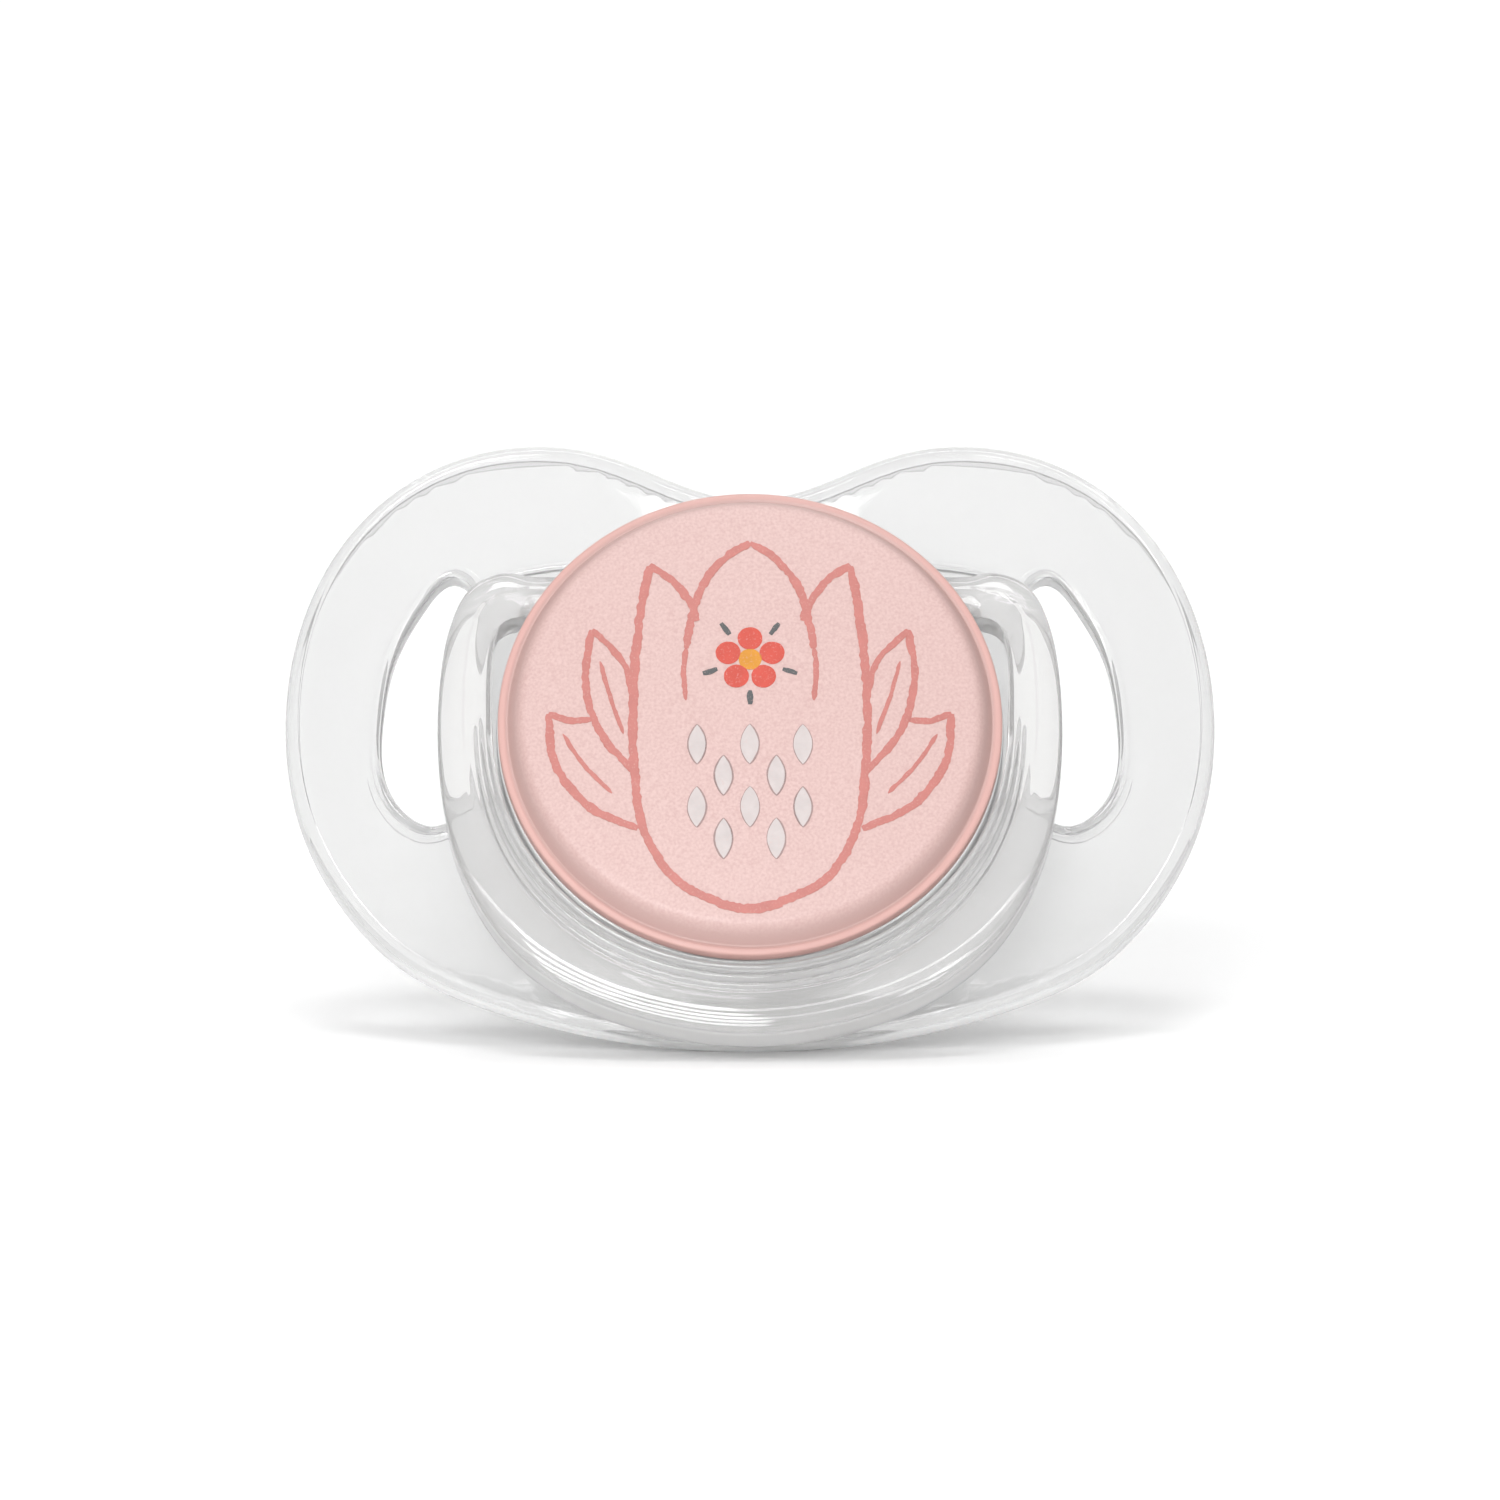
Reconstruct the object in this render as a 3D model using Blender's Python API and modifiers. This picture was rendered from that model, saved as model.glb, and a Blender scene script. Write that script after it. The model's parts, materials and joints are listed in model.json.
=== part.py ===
"""Infant pacifier: a curved clear shield, a hollow silicone teat, and a button over a swinging ring handle.

Every piece is drawn in the shield's own frame: X across, Z up along the shield, -Y towards the button and
+Y towards the teat, with the teat's axis through the origin. An empty then leans the whole assembly back
until it rests on the shield's lower rim and on the teat, the way a pacifier lies on a table.
"""

import math

import bmesh
import bpy
from mathutils import Vector

# Shield: a butterfly plate that curves back towards the cheeks
SHIELD_THICKNESS = 0.0020
SHIELD_EDGE_RADIUS = 0.0008
SHIELD_RADIUS_ACROSS = 0.068
SHIELD_RADIUS_UP = 0.110
SHIELD_HALF_OUTLINE = [
    (0.0000, -0.0192),
    (0.0030, -0.0191),
    (0.0103, -0.0179),
    (0.0168, -0.0156),
    (0.0218, -0.0126),
    (0.0257, -0.0080),
    (0.0285, -0.0020),
    (0.0295, 0.0050),
    (0.0289, 0.0108),
    (0.0268, 0.0163),
    (0.0228, 0.0208),
    (0.0181, 0.0229),
    (0.0141, 0.0232),
    (0.0098, 0.0223),
    (0.0056, 0.0202),
    (0.0025, 0.0188),
    (0.0000, 0.0184),
]
VENT_OUTLINE = [
    (0.0188, 0.0137),
    (0.0206, 0.0121),
    (0.0224, 0.0086),
    (0.0232, 0.0041),
    (0.0230, -0.0001),
    (0.0217, -0.0025),
    (0.0198, -0.0036),
    (0.0181, -0.0027),
    (0.0174, 0.0002),
    (0.0172, 0.0050),
    (0.0173, 0.0100),
    (0.0177, 0.0128),
]
STRIPS_ACROSS = 14
STRIPS_UP = 7

# Hub: the round boss in the middle of the shield's front, with a plinth above the handle's bar
HUB_RADIUS = 0.0153
HUB_FRONT = -0.0042
HUB_BACK = 0.00085
PLINTH_RADIUS = 0.0168
PLINTH_BOTTOM = 0.0116
TEAT_BORE_RADIUS = 0.0050
FLANGE_SEAT_RADIUS = 0.0070
FLANGE_SEAT_FLOOR = -0.0007

# Ring handle: a D-shaped ring on a round bar that turns in the hub's channel
HINGE_Y = -0.0026
HINGE_Z = 0.00955
BAR_RADIUS = 0.0016
BAR_CLEARANCE = 0.00015
BAR_HALF_LENGTH = 0.0134
RING_THICKNESS = 0.0032
RING_EDGE_RADIUS = 0.0009
RING_HALF_OUTLINE = [
    (0.0000, -0.0204),
    (0.0050, -0.0198),
    (0.0100, -0.0181),
    (0.0145, -0.0150),
    (0.0174, -0.0108),
    (0.0190, -0.0060),
    (0.0196, 0.0000),
    (0.0194, 0.0045),
    (0.0187, 0.0080),
    (0.0174, 0.0103),
    (0.0157, 0.0111),
    (0.0135, 0.01115),
]
RING_HALF_OPENING = [
    (0.0000, -0.0163),
    (0.0062, -0.0151),
    (0.0115, -0.0116),
    (0.0150, -0.0065),
    (0.0163, 0.0000),
    (0.01635, 0.0040),
    (0.0161, 0.0068),
    (0.0152, 0.0079),
    (0.0135, 0.00795),
]

# Teat: a hollow silicone bulb, a little wider than it is tall, on a round neck with a flange
TEAT_FLANGE_RADIUS = 0.0067
TEAT_FLANGE_FRONT = -0.0022
TEAT_FLANGE_BACK = -0.0010
TEAT_NECK_RADIUS = 0.0047
TEAT_NECK_END = 0.0050
TEAT_BULB_RADIUS = 0.0068
TEAT_BULB_Y = 0.0210
TEAT_TIP_Y = 0.0290
TEAT_WALL = 0.0014
TEAT_WIDENING = 1.18

# Clearance between pieces that are pressed together
FIT_GAP = 0.0003

# Teat plug: holds the teat's neck open and its flange down
PLUG_STEM_END = 0.0060
PLUG_FLANGE_THICKNESS = 0.0014
PLUG_EDGE = 0.0003

# Button: a keeper plate snapped into the hub, and the domed cover over it, whose outside is listed as
# (inset from the cover's radius, height above its back)
BASE_RADIUS = 0.0139
BASE_BACK = -0.0045
BASE_FRONT = -0.0055
BASE_PAD_RADIUS = 0.0064
BASE_EDGE = 0.0002
PEG_RADIUS = 0.0008
PEG_TIP = -0.0012
PEG_PLACES = [(0.0108, -0.0015), (0.0065, -0.0098), (0.0, 0.01275), (-0.0065, -0.0098), (-0.0108, -0.0015)]
COVER_RADIUS = 0.0158
COVER_BACK = -0.0045
COVER_APEX = -0.0076
COVER_INSIDE_EDGE = 0.0004
COVER_LIP_AND_COVE = [
    (0.0002, 0.0000),
    (0.0000, 0.0002),
    (0.0000, 0.0008),
    (0.0002, 0.0010),
    (0.0004, 0.00105),
    (0.0006, 0.00095),
    (0.0010, 0.0015),
    (0.00135, 0.00215),
]
DOME_RADIUS = 0.0137
DOME_EDGE = -0.0069

# Rest: the whole pacifier leans back on the lower rim and the teat
LEAN = math.radians(30.0)

ROUND_SIDES = 48
SMALL_ROUND_SIDES = 16
MERGE_DISTANCE = 1e-6


def new_collection(name):
    collection = bpy.data.collections.new(name)
    bpy.context.scene.collection.children.link(collection)
    return collection


def material(name, color, roughness, transmission=0.0):
    made = bpy.data.materials.new(name)
    made.use_nodes = True
    shader = made.node_tree.nodes["Principled BSDF"]
    shader.inputs["Base Color"].default_value = (*color, 1.0)
    shader.inputs["Roughness"].default_value = roughness
    shader.inputs["Metallic"].default_value = 0.0
    shader.inputs["Transmission Weight"].default_value = transmission
    return made


def mirrored(half):
    """A closed outline from its right half, which starts and may end on the plane x = 0."""
    left = [(-x, z) for x, z in reversed(half) if x > 0]
    return half + left


def solid_from_curve(obj, collection):
    """The curve's solid as a mesh object, with its caps welded and its placement written into the points."""
    bpy.context.view_layer.update()
    evaluated = obj.evaluated_get(bpy.context.evaluated_depsgraph_get())
    mesh = bpy.data.meshes.new_from_object(evaluated)
    mesh.transform(obj.matrix_world)
    form = bmesh.new()
    form.from_mesh(mesh)
    bmesh.ops.remove_doubles(form, verts=form.verts, dist=MERGE_DISTANCE)
    bmesh.ops.recalc_face_normals(form, faces=form.faces)
    form.to_mesh(mesh)
    form.free()
    mesh.name = obj.name
    solid = bpy.data.objects.new(obj.name + "_solid", mesh)
    name = obj.name
    bpy.data.objects.remove(obj)
    solid.name = name
    collection.objects.link(solid)
    return solid


def plate_from_outlines(name, outlines, thickness, edge_radius, collection):
    """A flat plate in the XZ plane with rounded edges, from smooth closed outlines: the first is its rim."""
    curve = bpy.data.curves.new(name, "CURVE")
    curve.dimensions = "2D"
    curve.fill_mode = "BOTH"
    curve.resolution_u = 3
    curve.extrude = thickness / 2 - edge_radius
    curve.bevel_depth = edge_radius
    curve.bevel_resolution = 1
    curve.offset = -edge_radius
    for outline in outlines:
        spline = curve.splines.new("BEZIER")
        spline.bezier_points.add(len(outline) - 1)
        spline.use_cyclic_u = True
        for knot, (x, z) in zip(spline.bezier_points, outline):
            knot.co = (x, z, 0.0)
            knot.handle_left_type = "AUTO"
            knot.handle_right_type = "AUTO"
    obj = bpy.data.objects.new(name, curve)
    obj.rotation_euler.x = math.pi / 2
    collection.objects.link(obj)
    return solid_from_curve(obj, collection)


def turned(name, profile, sides, collection):
    """A solid of revolution about the teat's axis. Its (radius, y) points run forward along its outside."""
    mesh = bpy.data.meshes.new(name)
    edges = [(i, i + 1) for i in range(len(profile) - 1)]
    mesh.from_pydata([(radius, 0.0, y) for radius, y in profile], edges, [])
    obj = bpy.data.objects.new(name, mesh)
    obj.rotation_euler.x = -math.pi / 2
    screw = obj.modifiers.new("turn", "SCREW")
    screw.axis = "Z"
    screw.steps = sides
    screw.render_steps = sides
    screw.use_merge_vertices = True
    screw.merge_threshold = 0.00001
    collection.objects.link(obj)
    return solid_from_curve(obj, collection)


def rod(name, radius, start, end, sides, collection):
    """A cylinder between two points."""
    axis = Vector(end) - Vector(start)
    mesh = bpy.data.meshes.new(name)
    form = bmesh.new()
    bmesh.ops.create_cone(
        form, cap_ends=True, segments=sides, radius1=radius, radius2=radius, depth=axis.length
    )
    form.to_mesh(mesh)
    form.free()
    obj = bpy.data.objects.new(name, mesh)
    obj.rotation_euler = axis.to_track_quat("Z", "Y").to_euler()
    obj.location = (Vector(start) + Vector(end)) / 2
    collection.objects.link(obj)
    return obj


def block(name, low, high, collection):
    """A box between two opposite corners."""
    low = Vector(low)
    high = Vector(high)
    mesh = bpy.data.meshes.new(name)
    form = bmesh.new()
    bmesh.ops.create_cube(form, size=1.0)
    bmesh.ops.scale(form, vec=high - low, verts=form.verts)
    form.to_mesh(mesh)
    form.free()
    obj = bpy.data.objects.new(name, mesh)
    obj.location = (low + high) / 2
    collection.objects.link(obj)
    return obj


def combine(obj, operation, other):
    """A Boolean of the object with a helper, which is left out of renders."""
    other.hide_render = True
    other.display_type = "WIRE"
    boolean = obj.modifiers.new(operation.lower() + "_" + other.name, "BOOLEAN")
    boolean.operation = operation
    boolean.solver = "EXACT"
    boolean.object = other


def finish(obj, surface):
    obj.data.materials.clear()
    obj.data.materials.append(surface)
    obj.data.shade_smooth()
    obj.data.set_sharp_from_angle(angle=math.radians(35))


def sag(x, z):
    """How far the shield's middle surface has curved back at a point of its outline."""
    across = SHIELD_RADIUS_ACROSS - math.sqrt(SHIELD_RADIUS_ACROSS**2 - x**2)
    up = SHIELD_RADIUS_UP - math.sqrt(SHIELD_RADIUS_UP**2 - z**2)
    return across + up


def bend(mesh):
    """Cuts the flat plate into strips both ways and moves its points back onto the curved surface."""
    form = bmesh.new()
    form.from_mesh(mesh)
    xs = [vertex.co.x for vertex in form.verts]
    zs = [vertex.co.z for vertex in form.verts]
    cuts = [((1, 0, 0), min(xs), max(xs), STRIPS_ACROSS), ((0, 0, 1), min(zs), max(zs), STRIPS_UP)]
    for normal, low, high, strips in cuts:
        for step in range(1, strips):
            place = Vector(normal) * (low + (high - low) * step / strips)
            geometry = form.verts[:] + form.edges[:] + form.faces[:]
            bmesh.ops.bisect_plane(
                form, geom=geometry, plane_co=place, plane_no=normal, dist=MERGE_DISTANCE
            )
    bmesh.ops.triangulate(form, faces=form.faces)
    for vertex in form.verts:
        vertex.co.y += sag(vertex.co.x, vertex.co.z)
    form.to_mesh(mesh)
    form.free()


def plinth(collection):
    """The segment of a disc above the handle's bar."""
    start = math.asin(PLINTH_BOTTOM / PLINTH_RADIUS)
    steps = 20
    outline = []
    for step in range(steps + 1):
        angle = start + (math.pi - 2 * start) * step / steps
        outline.append((PLINTH_RADIUS * math.cos(angle), PLINTH_RADIUS * math.sin(angle)))
    mesh = bpy.data.meshes.new("plinth")
    form = bmesh.new()
    face = form.faces.new([form.verts.new((x, HUB_BACK, z)) for x, z in outline])
    grown = bmesh.ops.extrude_face_region(form, geom=[face])
    moved = [item for item in grown["geom"] if isinstance(item, bmesh.types.BMVert)]
    bmesh.ops.translate(form, vec=(0.0, HUB_FRONT - HUB_BACK, 0.0), verts=moved)
    bmesh.ops.recalc_face_normals(form, faces=form.faces)
    form.to_mesh(mesh)
    form.free()
    obj = bpy.data.objects.new("plinth", mesh)
    collection.objects.link(obj)
    return obj


def make_shield(parts, helpers, surface):
    vents = [VENT_OUTLINE, [(-x, z) for x, z in VENT_OUTLINE]]
    shield = plate_from_outlines(
        "shield", [mirrored(SHIELD_HALF_OUTLINE), *vents], SHIELD_THICKNESS, SHIELD_EDGE_RADIUS, parts
    )
    bend(shield.data)
    hub = rod("hub", HUB_RADIUS, (0, HUB_FRONT, 0), (0, HUB_BACK, 0), ROUND_SIDES, helpers)
    combine(shield, "UNION", hub)
    combine(shield, "UNION", plinth(helpers))

    past_front = HUB_FRONT - 0.002
    past_back = SHIELD_THICKNESS
    channel_radius = BAR_RADIUS + BAR_CLEARANCE
    channel_end = PLINTH_RADIUS + 0.002
    channel_floor = rod(
        "channel_floor",
        channel_radius,
        (-channel_end, HINGE_Y, HINGE_Z),
        (channel_end, HINGE_Y, HINGE_Z),
        SMALL_ROUND_SIDES,
        helpers,
    )
    channel_mouth = block(
        "channel_mouth",
        (-channel_end, past_front, HINGE_Z - channel_radius),
        (channel_end, HINGE_Y, HINGE_Z + channel_radius),
        helpers,
    )
    teat_bore = rod(
        "teat_bore", TEAT_BORE_RADIUS, (0, past_front, 0), (0, past_back, 0), ROUND_SIDES, helpers
    )
    flange_seat = rod(
        "flange_seat", FLANGE_SEAT_RADIUS, (0, past_front, 0), (0, FLANGE_SEAT_FLOOR, 0), ROUND_SIDES, helpers
    )
    for cutter in (channel_floor, channel_mouth, teat_bore, flange_seat):
        combine(shield, "DIFFERENCE", cutter)
    for number, (x, z) in enumerate(PEG_PLACES, 1):
        hole = rod(
            f"peg_hole_{number}",
            PEG_RADIUS + FIT_GAP,
            (x, past_front, z),
            (x, PEG_TIP + FIT_GAP, z),
            SMALL_ROUND_SIDES,
            helpers,
        )
        combine(shield, "DIFFERENCE", hole)
    finish(shield, surface)
    return shield


def teat_radius(y):
    """The teat's outer radius: a straight neck that swells into the bulb and closes at the tip."""
    if y >= TEAT_BULB_Y:
        along = (y - TEAT_BULB_Y) / (TEAT_TIP_Y - TEAT_BULB_Y)
        return TEAT_BULB_RADIUS * math.sqrt(max(0.0, 1 - along**2))
    along = max(0.0, (y - TEAT_NECK_END) / (TEAT_BULB_Y - TEAT_NECK_END))
    swell = along**2 * (3 - 2 * along)
    return TEAT_NECK_RADIUS + (TEAT_BULB_RADIUS - TEAT_NECK_RADIUS) * swell


def teat_side(inset):
    """The bulb's profile from the tip to the neck's end, at a depth below the outer surface."""
    cap_steps = 8
    swell_steps = 8
    side = []
    for step in range(cap_steps):
        angle = math.pi / 2 * step / cap_steps
        radius = (TEAT_BULB_RADIUS - inset) * math.sin(angle)
        side.append((radius, TEAT_BULB_Y + (TEAT_TIP_Y - TEAT_BULB_Y - inset) * math.cos(angle)))
    for step in range(swell_steps + 1):
        y = TEAT_BULB_Y + (TEAT_NECK_END - TEAT_BULB_Y) * step / swell_steps
        side.append((teat_radius(y) - inset, y))
    return side


def make_teat(parts, surface):
    outside = teat_side(0.0)
    inside = teat_side(TEAT_WALL)
    flange = [
        (TEAT_NECK_RADIUS, TEAT_FLANGE_BACK),
        (TEAT_FLANGE_RADIUS, TEAT_FLANGE_BACK),
        (TEAT_FLANGE_RADIUS, TEAT_FLANGE_FRONT),
        (TEAT_NECK_RADIUS - TEAT_WALL, TEAT_FLANGE_FRONT),
    ]
    teat = turned("teat", outside + flange + inside[::-1], 32, parts)
    for vertex in teat.data.vertices:
        along = max(0.0, (vertex.co.y - TEAT_NECK_END) / (TEAT_BULB_Y - TEAT_NECK_END))
        vertex.co.x *= 1 + (TEAT_WIDENING - 1) * min(1.0, along)
    finish(teat, surface)
    return teat


def make_plug(parts, surface):
    stem_radius = TEAT_NECK_RADIUS - TEAT_WALL - FIT_GAP
    flange_back = TEAT_FLANGE_FRONT - FIT_GAP
    flange_front = flange_back - PLUG_FLANGE_THICKNESS
    profile = [
        (0.0, PLUG_STEM_END),
        (stem_radius - 2 * PLUG_EDGE, PLUG_STEM_END),
        (stem_radius, PLUG_STEM_END - 2 * PLUG_EDGE),
        (stem_radius, flange_back),
        (TEAT_FLANGE_RADIUS - PLUG_EDGE, flange_back),
        (TEAT_FLANGE_RADIUS, flange_back - PLUG_EDGE),
        (TEAT_FLANGE_RADIUS, flange_front + PLUG_EDGE),
        (TEAT_FLANGE_RADIUS - PLUG_EDGE, flange_front),
        (0.0, flange_front),
    ]
    plug = turned("teat_plug", profile, 32, parts)
    finish(plug, surface)
    return plug


def make_base(parts, helpers, surface):
    profile = [
        (0.0, HUB_FRONT),
        (BASE_PAD_RADIUS, HUB_FRONT),
        (BASE_PAD_RADIUS, BASE_BACK),
        (BASE_RADIUS, BASE_BACK),
        (BASE_RADIUS, BASE_FRONT + BASE_EDGE),
        (BASE_RADIUS - BASE_EDGE, BASE_FRONT),
        (0.0, BASE_FRONT),
    ]
    base = turned("button_base", profile, ROUND_SIDES, parts)
    middle = (BASE_BACK + BASE_FRONT) / 2
    for number, (x, z) in enumerate(PEG_PLACES, 1):
        peg = rod(f"peg_{number}", PEG_RADIUS, (x, middle, z), (x, PEG_TIP, z), SMALL_ROUND_SIDES, helpers)
        combine(base, "UNION", peg)
    finish(base, surface)
    return base


def make_cover(parts, surface):
    """A shallow cap: the skirt around the keeper plate, a lip, a cove and a domed face."""
    skirt_inside = BASE_RADIUS + FIT_GAP
    ceiling = BASE_FRONT - FIT_GAP
    inside = [
        (0.0, ceiling),
        (skirt_inside - COVER_INSIDE_EDGE, ceiling),
        (skirt_inside, ceiling + COVER_INSIDE_EDGE),
        (skirt_inside, COVER_BACK),
    ]
    outside = [(COVER_RADIUS - inset, COVER_BACK - height) for inset, height in COVER_LIP_AND_COVE]
    dome_steps = 6
    dome = []
    for step in range(dome_steps + 1):
        radius = DOME_RADIUS * (1 - step / dome_steps)
        dome.append((radius, COVER_APEX + (DOME_EDGE - COVER_APEX) * (radius / DOME_RADIUS) ** 2))
    cover = turned("button_cover", inside + outside + dome, ROUND_SIDES, parts)
    finish(cover, surface)
    return cover


def make_ring(parts, helpers, surface):
    ring = plate_from_outlines(
        "ring_handle",
        [mirrored(RING_HALF_OUTLINE), mirrored(RING_HALF_OPENING)],
        RING_THICKNESS,
        RING_EDGE_RADIUS,
        parts,
    )
    for vertex in ring.data.vertices:
        vertex.co.z -= HINGE_Z
    room = 2 * RING_THICKNESS
    bar_room = block("bar_room", (-BAR_HALF_LENGTH, -room, -room), (BAR_HALF_LENGTH, room, room), helpers)
    bar_reach = BAR_HALF_LENGTH + 0.0010
    bar = rod("bar", BAR_RADIUS, (-bar_reach, 0, 0), (bar_reach, 0, 0), SMALL_ROUND_SIDES, helpers)
    combine(ring, "DIFFERENCE", bar_room)
    combine(ring, "UNION", bar)
    finish(ring, surface)
    return ring, [bar_room, bar]


def new_empty(name, collection):
    empty = bpy.data.objects.new(name, None)
    empty.empty_display_size = 0.005
    collection.objects.link(empty)
    return empty


def world_corners(objects):
    """The lowest and the highest corner of the evaluated objects."""
    bpy.context.view_layer.update()
    graph = bpy.context.evaluated_depsgraph_get()
    points = []
    for obj in objects:
        evaluated = obj.evaluated_get(graph)
        points += [evaluated.matrix_world @ vertex.co for vertex in evaluated.data.vertices]
    low = Vector([min(point[i] for point in points) for i in range(3)])
    high = Vector([max(point[i] for point in points) for i in range(3)])
    return low, high


def main():
    for obj in list(bpy.data.objects):
        bpy.data.objects.remove(obj)
    parts = new_collection("pacifier")
    helpers = new_collection("pacifier_helpers")

    clear = material("clear_plastic", (0.93, 0.94, 0.95), 0.08, 0.85)
    silicone = material("silicone", (0.90, 0.90, 0.88), 0.25, 0.60)
    white = material("white_plastic", (0.90, 0.88, 0.87), 0.40)
    pink = material("pink_plastic", (0.83, 0.58, 0.55), 0.45)

    shield = make_shield(parts, helpers, clear)
    teat = make_teat(parts, silicone)
    plug = make_plug(parts, white)
    base = make_base(parts, helpers, white)
    cover = make_cover(parts, pink)
    ring, ring_helpers = make_ring(parts, helpers, clear)

    lean = new_empty("lean", parts)
    pivot = new_empty("ring_pivot", parts)
    pivot.parent = lean
    pivot.location = (0.0, HINGE_Y, HINGE_Z)
    for obj in [ring, *ring_helpers]:
        obj.parent = pivot
    for obj in [*parts.objects, *helpers.objects]:
        if obj.parent is None and obj is not lean:
            obj.parent = lean
    lean.rotation_euler.x = -LEAN

    low, high = world_corners([shield, teat, plug, base, cover, ring])
    lean.location = (0.0, -(low.y + high.y) / 2, -low.z)


main()
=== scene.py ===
"""The looks of the infant pacifier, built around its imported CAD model.

Every piece is drawn in the shield's own frame, as in the CAD: X across, Z up along the shield, -Y towards the
button and +Y towards the teat. LEAN then moves its mesh to the table, as the record's hinge and mount say.
"""

import json
import math

import bmesh
import bpy
import numpy as np
from mathutils import Matrix, Vector, geometry, noise


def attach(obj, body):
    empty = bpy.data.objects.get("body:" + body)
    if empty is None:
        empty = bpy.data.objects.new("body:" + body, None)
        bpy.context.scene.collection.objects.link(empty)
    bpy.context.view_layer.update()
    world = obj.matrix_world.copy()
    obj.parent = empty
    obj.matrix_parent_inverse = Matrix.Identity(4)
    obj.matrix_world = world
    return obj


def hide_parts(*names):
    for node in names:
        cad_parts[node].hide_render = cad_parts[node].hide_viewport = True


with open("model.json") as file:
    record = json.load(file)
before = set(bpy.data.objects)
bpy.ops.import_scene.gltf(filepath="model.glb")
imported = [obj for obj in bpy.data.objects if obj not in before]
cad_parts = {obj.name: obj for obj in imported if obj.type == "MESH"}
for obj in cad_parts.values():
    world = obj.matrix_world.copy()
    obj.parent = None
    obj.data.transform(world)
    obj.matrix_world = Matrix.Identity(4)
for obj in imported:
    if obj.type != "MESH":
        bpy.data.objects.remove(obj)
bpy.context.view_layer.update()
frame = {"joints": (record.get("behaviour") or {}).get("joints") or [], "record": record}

MM = 0.001

# Shield, as in the CAD
PLATE_HALF_THICKNESS = 1.0 * MM
PLATE_RADIUS_ACROSS = 68 * MM
PLATE_RADIUS_UP = 110 * MM
PLATE_HALF_OUTLINE = [
    (0.0000, -0.0192),
    (0.0030, -0.0191),
    (0.0103, -0.0179),
    (0.0168, -0.0156),
    (0.0218, -0.0126),
    (0.0257, -0.0080),
    (0.0285, -0.0020),
    (0.0295, 0.0050),
    (0.0289, 0.0108),
    (0.0268, 0.0163),
    (0.0228, 0.0208),
    (0.0181, 0.0229),
    (0.0141, 0.0232),
    (0.0098, 0.0223),
    (0.0056, 0.0202),
    (0.0025, 0.0188),
    (0.0000, 0.0184),
]
VENT_OUTLINE = [
    (0.0188, 0.0137),
    (0.0206, 0.0121),
    (0.0224, 0.0086),
    (0.0232, 0.0041),
    (0.0230, -0.0001),
    (0.0217, -0.0025),
    (0.0198, -0.0036),
    (0.0181, -0.0027),
    (0.0174, 0.0002),
    (0.0172, 0.0050),
    (0.0173, 0.0100),
    (0.0177, 0.0128),
]
RIM_RADIUS = 0.75 * MM
VENT_RIM_RADIUS = 0.6 * MM
BEAD_HEIGHT = 0.07 * MM
BEAD_FLAT = 0.06 * MM
BEAD_SLOPE = 0.16 * MM
GUARD_RIB = [(0.0090, 0.0136), (0.0130, 0.0136), (0.0147, 0.0134), (0.0158, 0.0130), (0.0167, 0.0124)]
GUARD_RADIUS = 0.36 * MM
HUB_RADIUS = 15.9 * MM
HUB_FRONT = -4.2 * MM
HUB_BACK = 0.85 * MM
HUB_MARGIN = 0.1 * MM
PLINTH_RADIUS = 16.45 * MM
PLINTH_FRONT = -3.6 * MM
PLINTH_BOTTOM = 11.6 * MM
TEAT_BORE_RADIUS = 5.0 * MM
FLANGE_SEAT_RADIUS = 7.0 * MM
FLANGE_SEAT_FLOOR = -0.7 * MM
PEG_HOLE_RADIUS = 1.1 * MM
PEG_HOLE_FLOOR = -0.9 * MM
PEG_PLACES = [(0.0108, -0.0015), (0.0065, -0.0098), (0.0, 0.01275), (-0.0065, -0.0098), (-0.0108, -0.0015)]

# Ring handle: paired points on its outer and inner edge, from the bottom up the right side to the bar
HINGE_Y = -2.6 * MM
HINGE_Z = 9.55 * MM
BAR_RADIUS = 1.6 * MM
CHANNEL_RADIUS = 1.75 * MM
RING_HALF_THICKNESS = 1.6 * MM
RING_STATIONS = [
    (0.0000, -0.0204, 0.0000, -0.0163),
    (0.0050, -0.0198, 0.0043, -0.01575),
    (0.0100, -0.0181, 0.0085, -0.0140),
    (0.0145, -0.0150, 0.0122, -0.0109),
    (0.0174, -0.0108, 0.0147, -0.0072),
    (0.0190, -0.0060, 0.0159, -0.0034),
    (0.0196, 0.0000, 0.0163, 0.0006),
    (0.0194, 0.0045, 0.01635, 0.0040),
    (0.0187, 0.0080, 0.0161, 0.0066),
    (0.0174, 0.0103, 0.0156, 0.00755),
    (0.0157, 0.0111, 0.0149, 0.0079),
    (0.0134, 0.01115, 0.0134, 0.00795),
]
BAR_ENDS = 15.2 * MM
BAR_BLEND = 1.6 * MM
ARM_SECTION_KNOTS = [
    (1.00, 0.00),
    (1.00, -0.40),
    (0.985, -0.63),
    (0.93, -0.755),
    (0.84, -0.83),
    (0.72, -0.895),
    (0.60, -0.945),
    (0.46, -0.988),
    (0.30, -1.02),
    (0.10, -1.043),
    (-0.16, -1.05),
    (-0.30, -1.03),
    (-0.36, -0.98),
    (-0.42, -1.06),
    (-0.54, -1.10),
    (-0.60, -1.05),
    (-0.66, -1.15),
    (-0.78, -1.19),
    (-0.84, -1.14),
    (-0.90, -1.28),
    (-0.98, -1.38),
    (-1.06, -1.38),
    (-1.09, -1.24),
    (-1.04, -0.70),
    (-1.00, 0.00),
    (-0.99, 0.55),
    (-0.88, 0.90),
    (-0.62, 1.00),
    (0.00, 1.00),
    (0.62, 1.00),
    (0.88, 0.90),
    (0.99, 0.55),
]
ARM_SECTION_POINTS = 144
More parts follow.
